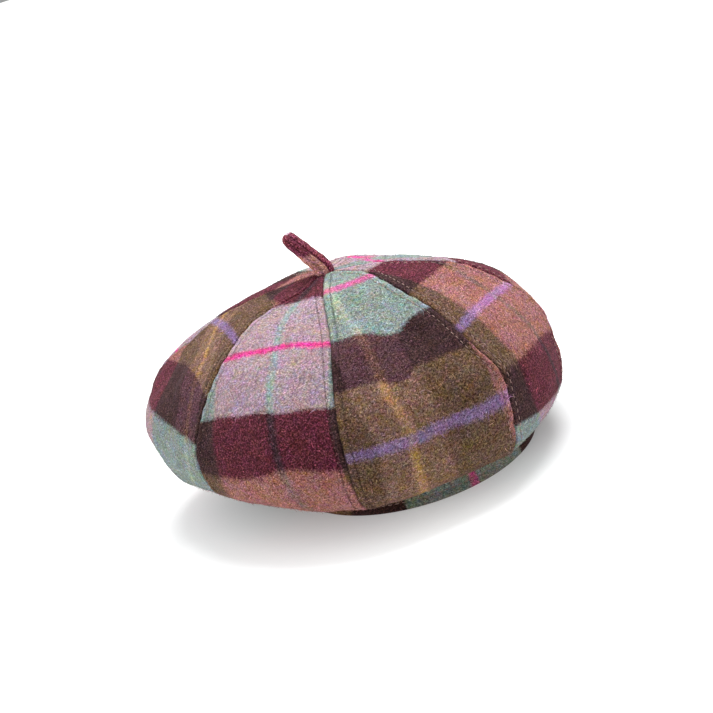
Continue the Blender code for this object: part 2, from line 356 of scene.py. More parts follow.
def crown(place, theta, corners=0.0):
    """The crown's outer face. place runs 0 to 1 down the dome, to 2 round the fold, to 3 under."""
    place, theta = np.broadcast_arrays(np.asarray(place, float), np.asarray(theta, float))
    base_x, base_y, out_x, out_y = oval(theta)
    overhang = CROWN_OVERHANG * seam_value("overhang", theta) + corners * corner(theta)
    rim_x = base_x + overhang * out_x
    rim_y = base_y + overhang * out_y
    rim_z = HEADBAND_HEIGHT + RIM_RISE * seam_value("rim", theta)
    fold_z = HEADBAND_HEIGHT * seam_value("fold", theta)
    turn = np.minimum(FOLD_DEPTH, MOST_FOLD * overhang)
    fullness = seam_value("fullness", theta)
    reach_x = rim_x - TIP_X
    reach_y = rim_y - TIP_Y
    start = np.arcsin((STALK_RADIUS / np.hypot(reach_x, reach_y)) ** (fullness / 2))
    sweep = start + (math.pi / 2 - start) * np.clip(place, 0, 1)
    share = np.sin(sweep) ** (2 / fullness)
    rise = np.maximum(np.cos(sweep), 0.0) ** (2 / fullness)
    dome = np.stack(
        [TIP_X + reach_x * share, TIP_Y + reach_y * share, rim_z + (TIP_Z - rim_z) * rise], axis=-1
    )
    round_it = np.clip(place - 1, 0, 1) * math.pi / 2
    inward = turn * (1 - np.cos(round_it))
    fold_down = (rim_z - fold_z) * np.sin(round_it)
    fold = np.stack([rim_x - inward * out_x, rim_y - inward * out_y, rim_z - fold_down], axis=-1)
    along = np.clip(place - 2, 0, 1)
    outward = (overhang - turn) * (1 - along) + SEAM_GAP * along
    climb = along * along * (3 - 2 * along)
    end_z = HEADBAND_HEIGHT - CLOTH_THICKNESS
    under = np.stack(
        [base_x + outward * out_x, base_y + outward * out_y, fold_z + (end_z - fold_z) * climb], axis=-1
    )
    place = place[..., None]
    return np.where(place <= 1, dome, np.where(place <= 2, fold, under))


def crown_normal(place, theta):
    """The way the crown faces, straight up at its tip."""
    step = 0.002
    ahead = crown(np.minimum(place + step, 3.0), theta)
    behind = crown(np.maximum(place - step, 0.0), theta)
    normal = np.cross(ahead - behind, crown(place, theta + step) - crown(place, theta - step))
    normal /= np.maximum(np.linalg.norm(normal, axis=-1, keepdims=True), 1e-12)
    upright = np.clip(1 - place / UPRIGHT_TIP, 0, 1)[..., None]
    normal = normal * (1 - upright) + np.array([0.0, 0.0, 1.0]) * upright
    return unit(normal)


def mound(place, theta, angle, reach, middle, spread, slant=0.0):
    """A smooth mound on the crown, 1 at its middle."""
    away = (np.degrees(theta) - angle + 180) % 360 - 180 + slant * (place - middle)
    return np.exp(-((away / reach) ** 2) - ((place - middle) / spread) ** 2)


def dents(place, theta):
    """How deep the broad dents are."""
    depth = np.zeros(np.broadcast(place, theta).shape)
    for angle, reach, middle, spread, share in DENTS:
        depth = depth + DENT_DEPTH * share * mound(place, theta, angle, reach, middle, spread)
    return depth


def tucks(place, theta):
    """How far the small folds stand out."""
    out = np.zeros(np.broadcast(place, theta).shape)
    for angle, reach, middle, spread, slant, rise in TUCKS:
        out = out + rise * mound(place, theta, angle, reach, middle, spread, slant)
    return out


def ripples(points, waves, low, high, seed):
    """A smooth random field from -1 to 1 made of plane waves between two lengths, in metres."""
    draw = np.random.default_rng(seed)
    total = np.zeros(points.shape[:-1])
    for _ in range(waves):
        direction = unit(draw.normal(size=3))
        length = draw.uniform(low, high)
        total += np.sin(points @ direction * (2 * math.pi / length) + draw.uniform(0, 2 * math.pi))
    return total / math.sqrt(waves / 2) / 2


def bell(distance, width):
    return np.exp(-((distance / width) ** 2))


def column_shares():
    """Where a gore's columns lie across it, from 0 to 1, closer together near its seams."""
    t = np.linspace(-1, 1, GORE_COLUMNS + 1)
    bent = np.sign(t) * (1 - (1 - np.abs(t)) ** CROWDING)
    return (bent + 1) / 2


def row_places():
    """Where a gore's rows lie: to 1 down the dome, to 2 round the fold and to 3 under."""
    dome = np.linspace(0, 1, DOME_ROWS + 1)
    fold = np.linspace(1, 2, FOLD_ROWS + 1)[1:]
    under = np.linspace(2, 3, UNDER_ROWS + 1)[1:]
    return np.concatenate([dome, fold, under])


def swing(seam, place):
    """How far a seam swings sideways, in radians."""
    turn = np.zeros(np.shape(place))
    for swung, degrees, middle, spread in SWINGS:
        if swung == seam % GORES:
            turn = turn + degrees * bell(place - middle, spread)
    return np.radians(turn)


def cloth_lift(number, place, theta, share, base, seam, seam_down, allowance, wide_enough):
    """How far each point of a gore's cloth stands out from the plain crown."""
    fade_tip = np.clip((seam_down - TIP_SMOOTH) / TIP_FADE, 0, 1)
    fade_band = np.clip((seam_down[-1] - seam_down) / BAND_FADE, 0, 1)
    side = np.where(share < 0.5, number, number + 1)
    lift = -dents(place, theta) * (place <= DENTS_END)
    lift = lift + tucks(place, theta)
    if number == ROLLED_GORE:
        rolled = np.clip((place - ROLLED_START) / ROLLED_START_FADE, 0, 1)
        rolled = rolled * np.clip((ROLLED_END - place) / ROLLED_END_FADE, 0, 1)
        lift = lift + ROLLED_RISE * rolled * bell(seam - ROLLED_INSET, ROLLED_WIDTH) * (share > 0.5)
    for rise, waves, shortest, longest, seed in WRINKLES:
        lift = lift + rise * ripples(base, waves, shortest, longest, seed) * fade_tip * fade_band
    wander = PUCKER_WANDER * np.sin(seam_down * PUCKER_DRIFT + side)
    pucker = np.sin(seam_down * 2 * math.pi / PUCKER_LENGTH + side * PUCKER_SHIFT + wander)
    lift = lift + PUCKER_RISE * pucker * np.exp(-seam / PUCKER_REACH) * fade_tip * fade_band
    lift = lift - SEAM_DIP * bell(seam, DIP_WIDTH)
    lift = lift + ALLOWANCE_RISE * allowance * fade_tip
    lift = lift - STITCH_DIP * bell(seam - STITCH_INSET, DIP_WIDTH) * fade_tip * wide_enough
    rough = np.random.default_rng(ROUGHNESS_SEED + number).normal(size=base.shape[:2])
    return lift + ROUGHNESS_RISE * rough


def gore_grid(number):
    """A gore's outer and inner points and, at each, its place across and down the cloth, how far
    the nearer seam is and how far down that seam it lies."""
    place = row_places()[:, None]
    share = column_shares()[None, :]
    first = math.radians(FIRST_SEAM + GORE_ANGLE * number)
    width = math.radians(GORE_ANGLE)
    start = first + swing(number, place)
    end = first + width + swing(number + 1, place)
    rough = crown(place, start + (end - start) * share, CORNER_RISE)
    across_total = np.linalg.norm(np.diff(rough, axis=1), axis=-1).sum(1)
    margin = (SEAM_GAP / across_total)[:, None]
    theta = start + (end - start) * (margin + (1 - 2 * margin) * share)
    base = crown(place, theta, CORNER_RISE)
    normal = crown_normal(place + 0 * theta, theta)
    steps = np.linalg.norm(np.diff(base, axis=1), axis=-1)
    across = np.concatenate([np.zeros((len(place), 1)), np.cumsum(steps, axis=1)], axis=1)
    middle = GORE_COLUMNS // 2
    from_middle = across - across[:, middle:middle + 1]
    down = STALK_RADIUS + run(base[:, middle])
    spread = np.gradient(across[:, -1], down) / across[:, -1]
    curve = spread[:, None] + 1e-9
    u = np.sin(curve * from_middle) / curve
    v = down[:, None] - (1 - np.cos(curve * from_middle)) / curve
    seam = np.minimum(across, across[:, -1:] - across)
    seam_down = np.broadcast_to(down[:, None], seam.shape)
    allowance = 1 / (1 + np.exp((seam - ALLOWANCE_WIDTH) / ALLOWANCE_EDGE))
    wide_enough = across[:, -1:] > STITCH_DIP_ROOM
    lift = cloth_lift(number, place, theta, share, base, seam, seam_down, allowance, wide_enough)
    outer = base + normal * lift[..., None]
    inside = np.maximum(lift, DEEPEST_INSIDE) - CLOTH_THICKNESS - ALLOWANCE_THICKNESS * allowance
    inner = base + normal * inside[..., None]
    return {
        "outer": outer, "inner": inner, "normal": normal, "u": u, "v": v,
        "seam": seam, "down": seam_down, "across": across,
    }


def cloth_place(number, u, v):
    """The place on the check, in metres, of a point u across and v down a gore."""
    reach, *cuts = CUTS[number]
    a, b = u / CUT_UNIT, np.minimum(v, reach) / CUT_UNIT
    terms = (np.ones_like(a), a, b, a * a, a * b, b * b, a**3, a * a * b, a * b * b, b**3)
    place = [CUT_UNIT * sum(weight * term for weight, term in zip(cut, terms)) for cut in cuts]
    place[1] = place[1] + np.maximum(v - reach, 0.0)
    for gore, axis, middle_u, middle_v, wide, tall, by in EASED:
        if gore == number:
            near = ((u - middle_u) / wide) ** 2 + ((v - middle_v) / tall) ** 2
            place[axis] = place[axis] + by * np.exp(-near)
    return place


# Mesh helpers

def mesh_piece(name, points, faces, material, uvs):
    """A smooth mesh object with named UV maps given per point."""
    mesh = bpy.data.meshes.new(name)
    mesh.from_pydata([tuple(map(float, point)) for point in points], [], faces)
    mesh.update()
    mesh.validate()
    corners = np.empty(len(mesh.loops), np.int32)
    mesh.loops.foreach_get("vertex_index", corners)
    for layer_name, values in uvs.items():
        layer = mesh.uv_layers.new(name=layer_name)
        layer.data.foreach_set("uv", np.asarray(values, np.float32)[corners].ravel())
    mesh.polygons.foreach_set("use_smooth", [True] * len(mesh.polygons))
    mesh.materials.append(material)
    return add_object(name, mesh)


def weld(piece):
    """Joins the points that coincide where a strip closes on itself."""
    work = bmesh.new()
    work.from_mesh(piece.data)
    bmesh.ops.remove_doubles(work, verts=work.verts, dist=WELD)
    work.to_mesh(piece.data)
    work.free()


def make_gore(number, material):
    """A gore as a closed shell of cloth, and its grid."""
    grid = gore_grid(number)
    rows, across = grid["outer"].shape[:2]
    inside = rows * across
    points = np.concatenate([grid["outer"].reshape(-1, 3), grid["inner"].reshape(-1, 3)])
    index = np.arange(inside).reshape(rows, across)
    outer = np.stack([index[:-1, :-1], index[1:, :-1], index[1:, 1:], index[:-1, 1:]], -1).reshape(-1, 4)
    faces = [tuple(map(int, face)) for face in outer]
    faces += [tuple(int(i) + inside for i in reversed(face)) for face in outer]
    last, end = across - 1, rows - 1
    for row in range(rows - 1):
        a, b = int(index[row, 0]), int(index[row + 1, 0])
        faces.append((a, a + inside, b + inside, b))
        a, b = int(index[row, last]), int(index[row + 1, last])
        faces.append((a, b, b + inside, a + inside))
    for column in range(last):
        a, b = int(index[0, column]), int(index[0, column + 1])
        faces.append((a, b, b + inside, a + inside))
        a, b = int(index[end, column]), int(index[end, column + 1])
        faces.append((a, a + inside, b + inside, b))
    maps = {
        "cloth": cloth_place(number, grid["u"], grid["v"]),
        "sewn": (grid["seam"], grid["down"]),
        "weave": (grid["u"] + WEAVE_SHIFT_X * number, grid["v"] + WEAVE_SHIFT_Y * number),
    }
    maps = {name: np.tile(np.stack(pair, -1).reshape(-1, 2), (2, 1)) for name, pair in maps.items()}
    return mesh_piece(f"tweed_gore_{number + 1}", points, faces, material, maps), grid


def stitch_points(start, end, lift):
    """A stitch as a small bowed capsule between two points, lying on the cloth whose normal is lift."""
    along = end - start
    length = np.linalg.norm(along)
    along = along / length
    side = unit(np.cross(along, lift))
    up = np.cross(side, along)
    points = []
    for part, size, height in STITCH_RINGS:
        centre = start + along * length * part + up * STITCH_RADIUS * height
        for turn in range(STITCH_SIDES):
            angle = turn * 2 * math.pi / STITCH_SIDES
            points.append(centre + STITCH_RADIUS * size * (math.cos(angle) * side + math.sin(angle) * up))
    return points


def stitch_faces(first):
    last = first + STITCH_SIDES * (len(STITCH_RINGS) - 1)
    round_it = range(STITCH_SIDES)
    faces = [tuple(first + i for i in round_it), tuple(last + i for i in reversed(round_it))]
    for ring in range(first, last, STITCH_SIDES):
        for turn in range(STITCH_SIDES):
            a = ring + turn
            b = ring + (turn + 1) % STITCH_SIDES
            faces.append((a, a + STITCH_SIDES, b + STITCH_SIDES, b))
    return faces


def line_on_gore(grid, from_left, inset):
    """Points and normals down a gore, inset metres from its left or right seam."""
    points, normals = [], []
    for row in range(grid["outer"].shape[0]):
        across = grid["across"][row]
        total = across[-1]
        if total < STITCH_ROOM:
            continue
        target = inset if from_left else total - inset
        at = np.searchsorted(across, target) - 1
        at = min(max(at, 0), len(across) - 2)
        part = (target - across[at]) / (across[at + 1] - across[at])
        points.append(grid["outer"][row, at] * (1 - part) + grid["outer"][row, at + 1] * part)
        normals.append(grid["normal"][row, at])
    return np.array(points), np.array(normals)


def stitch_line(points, normals, offset, closed=False):
    """Stitches along a line of points: a list of points and faces."""
    place = run(points)
    count = int((place[-1] - offset) / STITCH_STEP) - (0 if closed else 1)

    def along(values, where):
        return np.array([np.interp(where, place, values[:, axis]) for axis in range(3)])

    made, faces = [], []
    for number in range(count):
        start = offset + number * STITCH_STEP
        ends = [along(points, where) for where in (start, start + STITCH_LENGTH)]
        lift = unit(along(normals, start + STITCH_LENGTH / 2))
        sunk = lift * STITCH_RADIUS * STITCH_BURIED
        faces += stitch_faces(len(made))
        made += stitch_points(ends[0] + sunk, ends[1] + sunk, lift)
    return made, faces


def make_fibres(grids, material):
    """The wool's loose surface fibres: short curved blades lying on the cloth."""
    draw = np.random.default_rng(FIBRES_SEED)
    points, cloth, sewn, weave = [], [], [], []
    for number, grid in enumerate(grids):
        outer = grid["outer"]
        down = outer[1:, :-1] - outer[:-1, :-1]
        across = outer[:-1, 1:] - outer[:-1, :-1]
        areas = np.linalg.norm(np.cross(down, across), axis=-1)
        areas[row_places()[:-1] > FIBRES_END] = 0.0
        areas[grid["seam"][:-1, :-1] < FIBRES_CLEAR] = 0.0
        count = int(areas.sum() * FIBRES_EACH)
        at = np.divmod(draw.choice(areas.size, count, p=(areas / areas.sum()).ravel()), areas.shape[1])
        part = draw.uniform(size=(count, 2))
        root = outer[at] + down[at] * part[:, :1] + across[at] * part[:, 1:]
        normal = grid["normal"][at]
        first = unit(across[at])
        second = np.cross(normal, first)
        angle = draw.uniform(0, 2 * math.pi, count)
        curl = draw.normal(0, FIBRE_CURL, count)
        length = draw.uniform(FIBRE_SHORTEST, FIBRE_LONGEST, count)
        rise = draw.uniform(FIBRE_LEAST_RISE, FIBRE_MOST_RISE, count)
        spine = [root + normal * FIBRE_ROOT]
        for step, turn in FIBRE_STEPS:
            heading = (angle + curl * turn)[:, None]
            ahead = np.cos(heading) * first + np.sin(heading) * second
            ahead = ahead + normal * (rise * (1.0 - FIBRE_DROOP * turn))[:, None]
            spine.append(spine[-1] + ahead * (length * step)[:, None])
        side = unit(np.cross(spine[1] - spine[0], normal))
        made = np.empty((count, FIBRE_POINTS, 3))
        for place, width in enumerate(FIBRE_WIDTHS):
            made[:, 2 * place] = spine[place] - side * FIBRE_WIDTH * width / 2
            made[:, 2 * place + 1] = spine[place] + side * FIBRE_WIDTH * width / 2
        made[:, -1] = spine[-1]
        points.append(made.reshape(-1, 3))
        cloth.append(np.stack(cloth_place(number, grid["u"][at], grid["v"][at]), -1))
        sewn.append(np.stack([grid["seam"][at] + FAR_FROM_SEAM, grid["down"][at]], -1))
        weave.append(draw.uniform(0, 1, (count, 2)))
    points = np.concatenate(points)
    faces = []
    for a in range(0, len(points), FIBRE_POINTS):
        faces += [(a, a + 1, a + 3, a + 2), (a + 2, a + 3, a + 5, a + 4), (a + 4, a + 5, a + 6)]
    maps = {"cloth": cloth, "sewn": sewn, "weave": weave}
    maps = {name: np.repeat(np.concatenate(parts), FIBRE_POINTS, axis=0) for name, parts in maps.items()}
    return mesh_piece("wool_fibres", points, faces, material, maps)


def band_point(theta, height, offset):
    """A point offset metres outside the headband's outer face."""
    x, y, out_x, out_y = oval(theta, -offset)
    return np.stack([x, y, np.broadcast_to(height, np.shape(x))], axis=-1)


def band_profile():
    """The headband's section: how far each point lies outside the outer face, and how high."""
    heights = np.linspace(BAND_MARGIN, HEADBAND_HEIGHT - BAND_MARGIN, BAND_ROWS)
    inner, top = -HEADBAND_THICKNESS, HEADBAND_HEIGHT
    profile = []
    for height in heights:
        puff = BAND_PUFF * math.sin(math.pi * min(height / BAND_EDGE_ROW, 1.0))
        profile.append((puff - BAND_GROOVE * bell(height - BAND_EDGE_ROW, BAND_GROOVE_WIDTH), height))
    profile += [(-BAND_CORNER, top), (inner + BAND_CORNER, top)]
    profile += [(inner, height) for height in heights[::-1]]
    return profile + [(inner + BAND_CORNER, 0.0), (-BAND_CORNER, 0.0)]


def make_headband(material):
    """The folded strip with its closing seam at the back, and the line of its topstitched edge."""
    theta = np.linspace(0, 2 * math.pi, BAND_SIDES + 1)
    girth = run(band_point(theta, 0.0, 0.0))
    from_seam = girth - np.interp(BAND_SEAM_AT, theta, girth)
    profile = band_profile()
    flats = np.cumsum([0.0] + [math.dist(here, there) for here, there in zip(profile, profile[1:])])
    points, cloth, sewn = [], [], []
    for angle, along, away in zip(theta, girth, from_seam):
        wave = sum(rise * math.sin(along * 2 * math.pi / length) for rise, length in BAND_WAVES)
        dip = BAND_SEAM_DIP * bell(away, BAND_SEAM_WIDTH)
        for (offset, height), across in zip(profile, flats):
            if offset > BAND_CLEAR - HEADBAND_THICKNESS:
                offset = offset + wave * math.sin(math.pi * height / HEADBAND_HEIGHT)
                if BAND_CLEAR < height < HEADBAND_HEIGHT - BAND_CLEAR:
                    offset = offset - dip
            points.append(band_point(angle, height, offset))
            cloth.append((BAND_CLOTH_X + across, along - BAND_PINK_AT))
            sewn.append((abs(away), height))
    around = len(profile)
    faces = []
    for start in range(0, BAND_SIDES * around, around):
        for row in range(around):
            a, b = start + row, start + (row + 1) % around
            faces.append((a, a + around, b + around, b))
    maps = {"cloth": cloth, "sewn": sewn, "weave": cloth}
    band = mesh_piece("tweed_headband", points, faces, material, maps)
    weld(band)
    line = band_point(theta, BAND_EDGE_ROW, -BAND_STITCH_DEPTH)
    out = np.stack([*oval(theta)[2:], 0 * theta], axis=-1)
    return band, line, out


def stalk_rings():
    """The stalk's rings, each with its middle, lean, radius and distance along, and its end point."""
    toward, upward = np.array([-1.0, 0.0, 0.0]), np.array([0.0, 0.0, 1.0])
    tip_radius = STALK_RADIUS * STALK_TIP_SHARE
    shaft = STALK_LENGTH - tip_radius
    step = shaft / STALK_ROWS
    centre = np.array([TIP_X, TIP_Y, TIP_Z])
    rings = [(centre - STALK_ROOT * upward, 0.0, STALK_RADIUS, -STALK_ROOT), (centre, 0.0, STALK_RADIUS, 0.0)]
    for row in range(1, STALK_ROWS + 1):
        part = min(row * step / STALK_BEND, 1.0)
        angle = STALK_LEAN * part * part * (3 - 2 * part)
        centre = centre + step * (math.sin(angle) * toward + math.cos(angle) * upward)
        radius = STALK_RADIUS + (tip_radius - STALK_RADIUS) * row / STALK_ROWS
        rings.append((centre, angle, radius, row * step))
    axis = math.sin(STALK_LEAN) * toward + math.cos(STALK_LEAN) * upward
    for row in range(1, STALK_TIP_ROWS):
        turn = row / STALK_TIP_ROWS * math.pi / 2
        middle = centre + axis * tip_radius * math.sin(turn)
        rings.append((middle, STALK_LEAN, tip_radius * math.cos(turn), shaft + tip_radius * turn))
    return rings, centre + axis * tip_radius


def make_stalk(material):
    """A rolled and sewn strip of cloth: a leaning stem with a lengthwise seam and a rounded tip."""
    rings, end = stalk_rings()
    points, cloth, sewn = [], [], []
    for centre, angle, radius, along in rings:
        across = np.array([-math.cos(angle), 0.0, -math.sin(angle)])
        for side in range(STALK_SIDES + 1):
            turn = 2 * math.pi * side / STALK_SIDES
            from_seam = abs((turn - STALK_SEAM_TURN + math.pi) % (2 * math.pi) - math.pi) * STALK_RADIUS
            lump = STALK_LUMP * math.sin(along * 2 * math.pi / STALK_LUMP_LENGTH + turn)
            lump += STALK_RIPPLE * math.sin(along * STALK_RIPPLE_TURNS + 2 * turn)
            size = radius * (1 - STALK_SEAM_DIP * bell(from_seam, STALK_SEAM_WIDTH))
            size += lump * min(radius / STALK_RADIUS, 1.0) * min(max(along / STALK_EVEN_ROOT, 0.0), 1.0)
            points.append(centre + size * (math.cos(turn) * across + np.array([0.0, -math.sin(turn), 0.0])))
            past_seam = (turn - STALK_SEAM_TURN) % (2 * math.pi)
            flap = STALK_FLAP_DROP * (past_seam < STALK_FLAP_TURN)
            round_front = turn - 2 * math.pi * (turn > STALK_SEAM_TURN)
            slant = STALK_SLANT * (max(round_front, STALK_SLANT_LEAST) - STALK_SLANT_MIDDLE)
            cloth.append((STALK_CLOTH_X + past_seam * STALK_RADIUS, STALK_CLOTH_Y - along - flap - slant))
            sewn.append((from_seam, along))
    faces = []
    wide = STALK_SIDES + 1
    for row in range(len(rings) - 1):
        for side in range(STALK_SIDES):
            a = row * wide + side
            faces.append((a, a + 1, a + 1 + wide, a + wide))
    faces.append(tuple(reversed(range(STALK_SIDES))))
    last = (len(rings) - 1) * wide
    points.append(end)
    cloth.append((STALK_CLOTH_X + STALK_TIP_CLOTH, STALK_CLOTH_Y - STALK_LENGTH))
    sewn.append((STALK_TIP_FROM_SEAM, STALK_LENGTH))
    for side in range(STALK_SIDES):
        faces.append((last + side, last + side + 1, len(points) - 1))
    stalk = mesh_piece("tweed_stalk", points, faces, material, {"cloth": cloth, "sewn": sewn, "weave": cloth})
    weld(stalk)
    return stalk


# Colours of each crossing of the check, as on a screen: each row's on its rose, teal, sage, heather and
# gold warp
PALETTE_STRENGTH = 0.72
WARP_BANDS = ("rose", "teal", "sage", "heather", "gold")
LIGHT_ROW = ((168, 144, 153), (148, 160, 158), (134, 147, 144), (132, 145, 139), (157, 166, 153))
DARK_ROW = ((88, 37, 49), (62, 40, 47), (57, 37, 38), (82, 54, 60), (100, 70, 64))
BROWN_ROW = ((152, 102, 96), (128, 98, 90), (99, 76, 60), (125, 96, 80), (164, 126, 92))
PURPLE_ROW = ((162, 116, 156), (140, 118, 140), (124, 100, 138), (136, 112, 150), (150, 124, 140))
PINK_ROW = ((212, 64, 136), (190, 80, 142), (194, 96, 146), (198, 104, 150), (204, 116, 148))
PURPLE_WIDER = 1.15
BAND_TINT = (1.0, 0.87, 0.76)
# The stalk's cloth is painted lighter than the crown's: painted light for the brighter light that falls on it
STALK_PAINTED_LIGHT_TINT = (2.12, 2.25, 2.32)
FIBRE_TINT = (1.12, 1.11, 1.10)
BLACK = (0, 0, 0, 1)
WHITE = (1, 1, 1, 1)

# The tweed's grain. Each noise has its scale, per metre, its detail and its roughness.
FRAY_NOISE = (520.0, 3.0, 0.75)
FRAY = 0.0056
TWILL_NOISE = (260.0, 2.0)
TWILL_WOBBLE = 0.0022
WARP_STRETCH = (1700.0, 620.0, 1.0)
WEFT_STRETCH = (620.0, 1700.0, 1.0)
YARN_NOISE = (1.0, 3.0, 0.7)
STRAY_NOISE = (720.0, 4.0, 0.8)
HUE_NOISE = (300.0, 4.0, 0.75)
HUE_WEIGHTS = (1.0, 0.68, 1.10)
CLOUD_NOISE = (85.0, 2.0, 0.6)
CLOUD_WEIGHTS = (0.46, 0.34, 0.60)
TINT_POWER = 1.1
SPECK_POWER = -0.42
SPECK_LIFT = (0.75, 0.17)  # times the tint's strength, and as well
HAIRY_REDS = (0.045, 0.10)
HAIRY_LEAST = 0.68
DARKEST = (0.004, 0.003, 0.003)
SHADE_NOISE = (46.0, 3.0)
SHADE = (0.34, 0.83)
TWILL_SHADE = (0.26, 0.87)
# Painted shade: the seams' grooves and the rows of stitches beside them are darkened, each within about a
# width
GROOVE_WIDTH = 0.0009
SEAM_GROOVE_PAINTED_SHADE = 0.4
STITCH_ROW_SHADE_WIDTH = 0.0006
STITCH_ROW_PAINTED_SHADE = 0.55
FUZZ_NOISE = (900.0, 3.0, 0.65)
TWILL_HEIGHT = 0.35
YARN_HEIGHT = 0.7
FUZZ_HEIGHT = 0.8
MIDDLE_GREY = (0.5, 0.5, 0.5)


class Nodes:
    """Short ways to add nodes to one tree."""

    def __init__(self, tree):
        self.tree = tree

    def add(self, kind, inputs=None, **settings):
        """A new node with its settings, and a value or a link at each of the inputs."""
        node = self.tree.nodes.new(kind)
        for name, value in settings.items():
            setattr(node, name, value)
        for name, value in (inputs or {}).items():
            self.put(node.inputs[name], value)
        return node

    def put(self, socket, value):
        if isinstance(value, bpy.types.NodeSocket):
            self.tree.links.new(value, socket)
        else:
            socket.default_value = value

    def math(self, operation, *numbers):
        return self.add("ShaderNodeMath", dict(enumerate(numbers)), operation=operation).outputs[0]

    def times(self, first, second):
        return self.math("MULTIPLY", first, second)

    def vector(self, operation, first, second):
        return self.add("ShaderNodeVectorMath", {0: first, 1: second}, operation=operation).outputs[0]

    def scaled(self, vector, factor):
        return self.add("ShaderNodeVectorMath", {0: vector, "Scale": factor}, operation="SCALE").outputs[0]

    def parts(self, vector):
        return self.add("ShaderNodeSeparateXYZ", {0: vector}).outputs

    def mix(self, share, first, second):
        return self.add("ShaderNodeMix", {"Factor": share, 6: first, 7: second}, data_type="RGBA").outputs[2]

    def noise(self, vector, scale, detail, roughness=0.5):
        given = {"Vector": vector, "Scale": scale, "Detail": detail, "Roughness": roughness}
        return self.add("ShaderNodeTexNoise", given).outputs

    def fit(self, value, low, high, to_low, to_high, kind="LINEAR"):
        """The value brought from the first range to the second, and kept within it."""
        given = {"Value": value, "From Min": low, "From Max": high, "To Min": to_low, "To Max": to_high}
        return self.add("ShaderNodeMapRange", given, interpolation_type=kind).outputs[0]

    def ramp(self, value, stops):
        node = self.add("ShaderNodeValToRGB", {0: value})
        ramp = node.color_ramp
        while len(ramp.elements) < len(stops):
            ramp.elements.new(0.5)
        for element, (place, colour) in zip(ramp.elements, stops):
            element.position = place
            element.color = colour
        return node.outputs[0]

    def shaded(self, shade, distance, width, depth):
        """The shade darkened by depth where the distance is 0, and less within about a width of it."""
        close = self.math("DIVIDE", distance, width)
        near = self.math("EXPONENT", self.times(self.times(close, close), -1.0))
        return self.times(shade, self.math("SUBTRACT", 1.0, self.times(near, depth)))

    def bump(self, shader, height, strength, distance):
        given = {"Height": height, "Strength": strength, "Distance": distance}
        self.put(shader.inputs["Normal"], self.add("ShaderNodeBump", given).outputs[0])


def warp_stops(row):
    """A row's colours across one repeat of the warp, from one gold line to the next."""
    colours = dict(zip(WARP_BANDS, row))
    sizes = (BAND_EDGE, LINE_HALF, HEATHER_HALF, ROSE_HALF)
    edge, line, heather, rose = (size / WARP_REPEAT for size in sizes)
    order = (
        ("gold", line), ("heather", heather), ("sage", 0.5 - rose), ("rose", 0.5 - line),
        ("teal", 0.5 + line), ("rose", 0.5 + rose), ("sage", 1 - heather), ("heather", 1 - line),
        ("gold", 1.0),
    )
    stops, start = [], 0.0
    for name, end in order:
        colour = linear(*colours[name], PALETTE_STRENGTH)
        stops.append((start + (edge if start > 0 else 0.0), colour))
        stops.append((end - (edge if end < 1 else 0.0), colour))
        start = end
    return stops


def weft_stops(bands):
    """Black along one repeat of the weft, and white inside each band from low to high, in metres from
    the middle of the light row."""
    edge = BAND_EDGE / WEFT_REPEAT
    stops = [(0.0, BLACK)]
    for low, high in bands:
        low, high = low / WEFT_REPEAT + 0.5, high / WEFT_REPEAT + 0.5
        if low > 0:
            stops += [(low - edge, BLACK), (low + edge, WHITE)]
        else:
            stops[0] = (0.0, WHITE)
        if high < 1:
            stops += [(high - edge, WHITE), (high + edge, BLACK)]
    return stops


